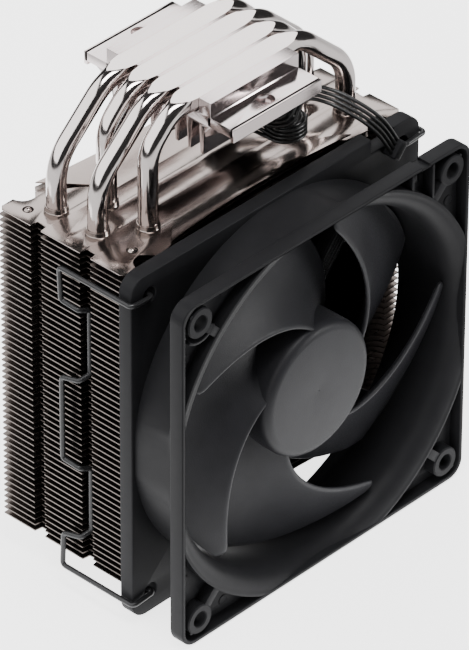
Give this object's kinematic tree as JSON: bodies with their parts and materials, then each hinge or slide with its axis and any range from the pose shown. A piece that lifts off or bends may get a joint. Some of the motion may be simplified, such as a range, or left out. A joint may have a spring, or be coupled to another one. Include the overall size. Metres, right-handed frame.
{
  "type": "processor tower cooler",
  "caption": "Tower cooler for a processor: bent heat pipes through a finned stack, a square axial fan held by spring wire clips, and a wired lead with a plug, contact face up.",
  "frame": {"origin": "centre of the contact face that meets the processor", "axes": "+Z out of the contact face, +X along the heat pipes, +Y from the fan to the fins"},
  "size_m": [0.1236, 0.0794, 0.156],
  "materials": {
    "pipe_plating": "polished nickel plating",
    "wick_copper": "sintered copper, matte",
    "base_metal": "nickel plated, polished",
    "fin_metal": "nickel plated sheet, bright",
    "frame_plastic": "satin black",
    "impeller_plastic": "satin black",
    "motor_steel": "satin",
    "shaft_steel": "ground",
    "magnet_rubber": "matte",
    "bearing_bronze": "matte",
    "pad_plastic": "matte",
    "winding_copper": "enamelled",
    "insulator_plastic": "matte",
    "board": "solder mask",
    "chip_plastic": "matte",
    "wire_insulation": "satin black",
    "connector_plastic": "satin black",
    "terminal_metal": "tin plated",
    "clip_steel": "blackened"
  },
  "bodies": {
    "cooler": {"base_block": "base_metal", "heat_pipe_1": "pipe_plating", "heat_pipe_wick_1": "wick_copper", "heat_pipe_2": "pipe_plating", "heat_pipe_wick_2": "wick_copper", "heat_pipe_3": "pipe_plating", "heat_pipe_wick_3": "wick_copper", "heat_pipe_4": "pipe_plating", "heat_pipe_wick_4": "wick_copper", "fin_top": "fin_metal", "fin_group_1": "fin_metal", "fin_group_2": "fin_metal", "fin_group_3": "fin_metal", "fin_group_4": "fin_metal", "fin_bottom": "fin_metal", "fan_frame": "frame_plastic", "lead_guide": "frame_plastic", "bearing_sleeve": "bearing_bronze", "thrust_pad": "pad_plastic", "bearing_cap": "frame_plastic", "stator_core": "motor_steel", "stator_insulators": "insulator_plastic", "stator_windings": "winding_copper", "motor_pcb": "board", "motor_chips": "chip_plastic", "lead_inner_wires": "wire_insulation", "lead_wire_1": "wire_insulation", "lead_wire_2": "wire_insulation", "lead_wire_3": "wire_insulation", "lead_wire_4": "wire_insulation", "lead_coil": "wire_insulation", "connector_housing": "connector_plastic", "connector_terminals": "terminal_metal"},
    "rotor": {"impeller": "impeller_plastic", "rotor_yoke": "motor_steel", "rotor_magnet": "magnet_rubber", "rotor_shaft": "shaft_steel", "retaining_ring": "pad_plastic"},
    "left_clip": {"clip_left": "clip_steel"},
    "right_clip": {"clip_right": "clip_steel"}
  },
  "joints": [
    {"name": "fan_spin", "type": "hinge", "parent": "cooler", "child": "rotor", "pos_m": [0, -0.0374, -0.096], "axis": [0, -1, 0], "continuous": true},
    {"name": "left_clip_swing", "type": "hinge", "parent": "cooler", "child": "left_clip", "pos_m": [-0.0525, -0.0277, -0.096], "axis": [0, 0, 1], "range_deg": [0, 10], "stiffness_Nm_per_rad": 0.05},
    {"name": "right_clip_swing", "type": "hinge", "parent": "cooler", "child": "right_clip", "pos_m": [0.0525, -0.0277, -0.096], "axis": [0, 0, -1], "range_deg": [0, 10], "stiffness_Nm_per_rad": 0.05}
  ]
}
